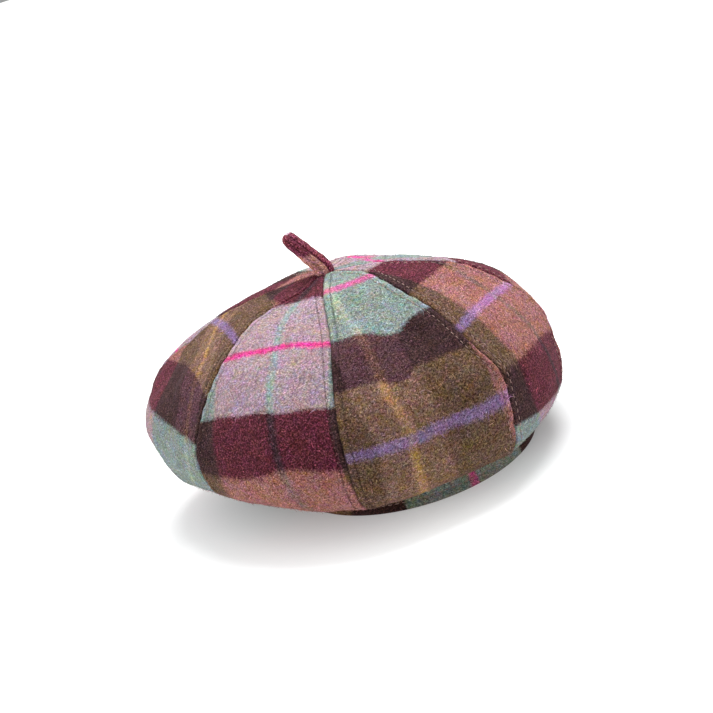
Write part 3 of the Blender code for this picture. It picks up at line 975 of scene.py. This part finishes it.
def tweed_group():
    """The check tweed: colour and height from the place on the cloth and the distance from a seam."""
    tree = bpy.data.node_groups.new("check_tweed", "ShaderNodeTree")
    for name in ("Cloth", "Sewn", "Weave"):
        tree.interface.new_socket(name=name, in_out="INPUT", socket_type="NodeSocketVector")
    for name, kind in (("Color", "NodeSocketColor"), ("Height", "NodeSocketFloat")):
        tree.interface.new_socket(name=name, in_out="OUTPUT", socket_type=kind)
    n = Nodes(tree)
    given = n.add("NodeGroupInput")
    out = n.add("NodeGroupOutput")
    cloth, sewn, weave = given.outputs["Cloth"], given.outputs["Sewn"], given.outputs["Weave"]

    # the check, with fibres that blur each band's edge
    fray = n.vector("SUBTRACT", n.noise(weave, *FRAY_NOISE)[1], MIDDLE_GREY)
    frayed = n.parts(n.vector("ADD", cloth, n.vector("MULTIPLY", fray, (FRAY, FRAY, 0.0))))
    x, y = (
        n.math("FRACT", n.math("ADD", n.math("DIVIDE", frayed[axis], repeat), 20.5))
        for axis, repeat in enumerate((WARP_REPEAT, WEFT_REPEAT))
    )
    half = WEFT_REPEAT / 2
    brown_low = half - BROWN_HALF
    line_low = half - LINE_HALF * PURPLE_WIDER
    colour = n.ramp(x, warp_stops(DARK_ROW))
    for row, bands in (
        (LIGHT_ROW, [(-LIGHT_HALF, LIGHT_HALF)]), (BROWN_ROW, [(-half, -brown_low), (brown_low, half)]),
        (PINK_ROW, [(-LINE_HALF, LINE_HALF)]), (PURPLE_ROW, [(-half, -line_low), (line_low, half)]),
    ):
        colour = n.mix(n.ramp(y, weft_stops(bands)), colour, n.ramp(x, warp_stops(row)))

    # twill: short lengths of warp and weft yarn pass over one another along a diagonal
    across = n.parts(weave)
    wobble = n.times(n.noise(weave, *TWILL_NOISE)[0], TWILL_WOBBLE)
    slant = n.math("ADD", n.math("ADD", across[0], across[1]), wobble)
    over = n.math("MULTIPLY_ADD", n.math("SINE", n.times(slant, 2 * math.pi / TWILL_PITCH)), 0.5, 0.5)
    warp_yarn = n.noise(n.vector("MULTIPLY", weave, WARP_STRETCH), *YARN_NOISE)[0]
    weft_yarn = n.noise(n.vector("MULTIPLY", weave, WEFT_STRETCH), *YARN_NOISE)[0]
    stray = n.noise(weave, *STRAY_NOISE)[0]
    yarn = n.math("ADD", n.times(warp_yarn, n.math("SUBTRACT", 1.0, over)), n.times(weft_yarn, over))
    speck = n.math("SUBTRACT", n.math("ADD", n.times(yarn, 0.5), n.times(stray, 0.5)), 0.5)

    # heather: every yarn is spun from fibres of several colours
    bright = n.add("ShaderNodeRGBToBW", {0: colour}).outputs[0]
    strength = n.math("POWER", bright, TINT_POWER)
    hues = n.vector("SUBTRACT", n.noise(weave, *HUE_NOISE)[1], MIDDLE_GREY)
    clouds = n.vector("SUBTRACT", n.noise(weave, *CLOUD_NOISE)[1], MIDDLE_GREY)
    hues = n.vector("ADD", hues, n.vector("MULTIPLY", clouds, CLOUD_WEIGHTS))
    tinted = n.scaled(n.vector("MULTIPLY", hues, HUE_WEIGHTS), n.times(strength, HEATHER_TINT))
    colour = n.vector("MAXIMUM", n.vector("ADD", colour, tinted), DARKEST)
    speck = n.times(speck, n.fit(n.parts(colour)[0], *HAIRY_REDS, HAIRY_LEAST, 1.0))
    contrast = n.times(n.math("POWER", bright, SPECK_POWER), HEATHER_SPECK)
    specked = n.scaled(colour, n.math("EXPONENT", n.times(speck, contrast)))
    colour = n.vector("ADD", specked, n.times(speck, n.math("MULTIPLY_ADD", strength, *SPECK_LIFT)))

    # shade: worn patches, the twill, and painted shade in the seams' grooves and along the rows of stitches
    # beside them
    shade = n.math("MULTIPLY_ADD", n.noise(weave, *SHADE_NOISE)[0], *SHADE)
    shade = n.times(shade, n.math("MULTIPLY_ADD", over, *TWILL_SHADE))
    from_seam = n.parts(sewn)[0]
    # painted shade in the seam's groove and along the stitch row's dip
    shade = n.shaded(shade, from_seam, GROOVE_WIDTH, SEAM_GROOVE_PAINTED_SHADE)
    from_stitches = n.math("SUBTRACT", from_seam, STITCH_INSET)
    shade = n.shaded(shade, from_stitches, STITCH_ROW_SHADE_WIDTH, STITCH_ROW_PAINTED_SHADE)
    n.put(out.inputs["Color"], n.vector("MAXIMUM", n.scaled(colour, shade), DARKEST))
    fuzz = n.noise(weave, *FUZZ_NOISE)[0]
    height = n.math("ADD", n.times(over, TWILL_HEIGHT), n.times(yarn, YARN_HEIGHT))
    n.put(out.inputs["Height"], n.math("ADD", height, n.times(fuzz, FUZZ_HEIGHT)))
    return tree


def new_material(name, plain):
    """A material, short ways to its nodes, and its shader with the given plain values."""
    material = bpy.data.materials.new(name)
    material.use_nodes = True
    shader = material.node_tree.nodes["Principled BSDF"]
    for socket, value in plain.items():
        shader.inputs[socket].default_value = value
    return material, Nodes(material.node_tree), shader


def tweed_material(name, group, tint=None, bump=0.55):
    material, n, shader = new_material(name, {
        "Roughness": 0.95, "Specular IOR Level": 0.06, "Sheen Weight": 0.045, "Sheen Roughness": 0.55,
        "Sheen Tint": (1.0, 0.64, 0.68, 1.0),
    })
    tweed = n.add("ShaderNodeGroup", node_tree=group)
    for socket in ("Cloth", "Sewn", "Weave"):
        n.put(tweed.inputs[socket], n.add("ShaderNodeUVMap", uv_map=socket.lower()).outputs[0])
    colour = tweed.outputs["Color"]
    n.put(shader.inputs["Base Color"], n.vector("MULTIPLY", colour, tint) if tint else colour)
    n.bump(shader, tweed.outputs["Height"], bump, 0.00045)
    return material


def thread_material():
    material, n, shader = new_material("topstitch_thread", {"Roughness": 0.7, "Sheen Weight": 0.2})
    place = n.add("ShaderNodeTexCoord").outputs["Object"]
    spun = n.noise(place, 2600.0, 2.0)[0]
    patchy = n.noise(place, 60.0, 2.0)[0]
    colour = n.mix(spun, linear(112, 84, 78), linear(186, 150, 138))
    colour = n.mix(n.times(patchy, 0.5), colour, linear(128, 96, 88))
    n.put(shader.inputs["Base Color"], colour)
    n.bump(shader, spun, 0.4, 0.0001)
    return material


# The hat

group = tweed_group()
tweed = tweed_material("crown_tweed_cloth", group)
band_tweed = tweed_material("headband_tweed_cloth", group, BAND_TINT)
# The stalk's tweed is painted lighter, as painted light
painted_lighter_stalk_tweed = tweed_material("painted_lighter_stalk_cloth", group, STALK_PAINTED_LIGHT_TINT)
fibre_tweed = tweed_material("wool_fibre", group, FIBRE_TINT, 0.0)
thread = thread_material()

stitch_mesh_points, stitch_mesh_faces = [], []
grids = []


def add_stitches(points, normals, offset, closed=False):
    """Adds a line of stitches to the topstitching."""
    made, faces = stitch_line(points, normals, offset, closed)
    first = len(stitch_mesh_points)
    stitch_mesh_points.extend(made)
    stitch_mesh_faces.extend(tuple(index + first for index in face) for face in faces)


for number in range(GORES):
    gore, grid = make_gore(number, tweed)
    grids.append(grid)
    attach(gore, "root")
    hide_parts(f"crown_panel_{number + 1}")
    for from_left in (True, False):
        line, lift = line_on_gore(grid, from_left, STITCH_INSET)
        seam = (number + (0 if from_left else 1)) % GORES
        if seam in DEEP_STITCHES:
            line = line - lift * STITCH_SINK
        add_stitches(line, lift, STITCH_START + STITCH_STAGGER * ((number * 2 + from_left) % 4))

band, band_line, band_out = make_headband(band_tweed)
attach(band, "root")
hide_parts("headband")
add_stitches(band_line, band_out, 0.0, closed=True)

stalk = make_stalk(painted_lighter_stalk_tweed)
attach(stalk, "root")
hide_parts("stalk")

fibres = make_fibres(grids, fibre_tweed)
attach(fibres, "root")

zero = np.zeros((len(stitch_mesh_points), 2))
stitches = mesh_piece("topstitching", stitch_mesh_points, stitch_mesh_faces, thread, {"cloth": zero})
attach(stitches, "root")

# Floor, light and camera

# The floor glows with painted light from below, less so round a spot under the hat, a painted shadow: the
# spot's middle, how much nearer places to its left and right count, and how far away the glow starts and ends
# to grow
FLOOR_PAINTED_SHADOW_X = -0.004
FLOOR_PAINTED_SHADOW_Y = 0.016
FLOOR_PAINTED_SHADOW_NARROW = 0.80
FLOOR_GLOW_FROM = 0.015
FLOOR_GLOW_TO = 0.215
FLOOR_GLOW_LEAST = 0.04
FLOOR_GLOW_MOST = 0.64
FLOOR_HALF = 12.0

# How brightly the room glows at the height of the hat and straight overhead
SKY_LOW = 0.34
SKY_HIGH = 0.98

# Each light's place, aim, size and power
LIGHTS = {
    "key_light": ((0.30, 0.50, 1.45), (0.0, 0.0, 0.05), 1.3, 43.0),
    "left_light": ((-1.5, 0.14, 0.18), (0.0, 0.0, 0.04), 0.7, 11.5),
    "right_light": ((1.4, 0.10, 0.20), (0.0, 0.0, 0.04), 0.5, 3.6),
}

# The camera, and where the middle of the head opening comes in its picture
ELEVATION = math.radians(19.7)
ROLL = math.radians(17.3)
DISTANCE = 1.2
PIXEL = 0.69  # millimetres at the head opening
FOCAL_PIXELS = DISTANCE * 1000 / PIXEL
FRAME_PIXELS = 713
ORIGIN_RIGHT = 415.1 - FRAME_PIXELS / 2
ORIGIN_DOWN = 452.5 - FRAME_PIXELS / 2
SENSOR_WIDTH = 36.0


def make_floor():
    material, n, shader = new_material("studio_floor", {
        "Base Color": (0.588, 0.60, 0.602, 1.0), "Emission Color": WHITE, "Roughness": 0.9,
        "Specular IOR Level": 0.1,
    })
    spot = n.add("ShaderNodeMapping", {
        "Vector": n.add("ShaderNodeTexCoord").outputs["Object"],
        "Location": (-FLOOR_PAINTED_SHADOW_X * FLOOR_PAINTED_SHADOW_NARROW, -FLOOR_PAINTED_SHADOW_Y, 0.0),
        "Scale": (FLOOR_PAINTED_SHADOW_NARROW, 1.0, 1.0),
    })
    away = n.add("ShaderNodeVectorMath", {0: spot.outputs[0]}, operation="LENGTH").outputs["Value"]
    # Painted shadow: the floor's glow is least at the spot under the hat and grows away from it
    glow = n.fit(away, FLOOR_GLOW_FROM, FLOOR_GLOW_TO, FLOOR_GLOW_LEAST, FLOOR_GLOW_MOST, "SMOOTHSTEP")
    n.put(shader.inputs["Emission Strength"], glow)
    mesh = bpy.data.meshes.new("studio_floor")
    corners = [(x * FLOOR_HALF, y * FLOOR_HALF, 0) for x, y in ((-1, -1), (1, -1), (1, 1), (-1, 1))]
    mesh.from_pydata(corners, [], [(0, 1, 2, 3)])
    mesh.materials.append(material)
    return add_object("studio_floor", mesh)


def make_world():
    world = bpy.data.worlds.new("studio")
    world.use_nodes = True
    background = world.node_tree.nodes["Background"]
    background.inputs["Color"].default_value = WHITE
    n = Nodes(world.node_tree)
    upward = n.parts(n.add("ShaderNodeTexCoord").outputs["Generated"])[2]
    n.put(background.inputs["Strength"], n.fit(upward, 0.0, 1.0, SKY_LOW, SKY_HIGH))
    return world


def area_light(name, place, aim, size, power):
    light = bpy.data.lights.new(name, "AREA")
    light.shape = "DISK"
    light.size = size
    light.energy = power
    lamp = add_object(name, light)
    lamp.location = place
    lamp.rotation_euler = (Vector(aim) - Vector(place)).to_track_quat("-Z", "Y").to_euler()


def make_camera():
    back = Vector((0.0, -math.cos(ELEVATION), math.sin(ELEVATION)))
    facing = (-back).to_track_quat("-Z", "Y").to_matrix()
    tilt = math.atan(ORIGIN_DOWN / FOCAL_PIXELS)
    pan = math.atan(ORIGIN_RIGHT / FOCAL_PIXELS * math.cos(tilt))
    for angle, axis in ((-ROLL, "Z"), (pan, "Y"), (tilt, "X")):
        facing = facing @ Matrix.Rotation(angle, 3, axis)
    data = bpy.data.cameras.new("camera")
    data.sensor_width = SENSOR_WIDTH
    data.lens = FOCAL_PIXELS * SENSOR_WIDTH / FRAME_PIXELS
    data.clip_start = 0.05
    data.clip_end = 100.0
    camera = add_object("camera", data)
    camera.matrix_world = Matrix.Translation(back * DISTANCE) @ facing.to_4x4()
    return camera


floor = make_floor()
bpy.context.scene.world = make_world()
bpy.context.scene.view_settings.view_transform = "Standard"
for name, settings in LIGHTS.items():
    area_light(name, *settings)
bpy.context.scene.camera = make_camera()
